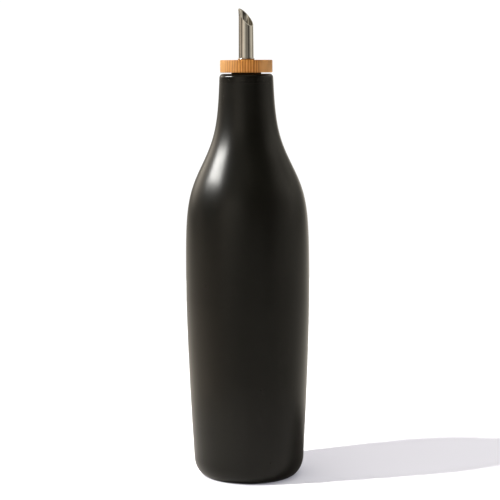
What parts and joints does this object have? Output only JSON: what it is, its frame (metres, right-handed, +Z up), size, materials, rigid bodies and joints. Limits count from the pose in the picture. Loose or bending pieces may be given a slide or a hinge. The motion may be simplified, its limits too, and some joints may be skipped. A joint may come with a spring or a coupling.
{
  "type": "oil dispenser bottle",
  "caption": "Round ceramic oil bottle with soft shoulders, a bamboo collar on a rubber stopper, and a slant-cut steel pouring tube.",
  "frame": {"origin": "centre of the foot, on the surface that the bottle stands on", "axes": "+Z up along the bottle's axis; the pouring tube's mouth opens towards +X and a little towards -Y"},
  "size_m": [0.082, 0.082, 0.3107],
  "materials": {
    "ceramic": "dark brown-black satin glaze",
    "bamboo": "smooth, lightly oiled",
    "rubber": "matt",
    "steel": "polished stainless steel"
  },
  "bodies": {
    "root": {"bottle": "ceramic", "bamboo_collar": "bamboo", "stopper": "rubber", "pouring_tube": "steel"}
  },
  "joints": []
}
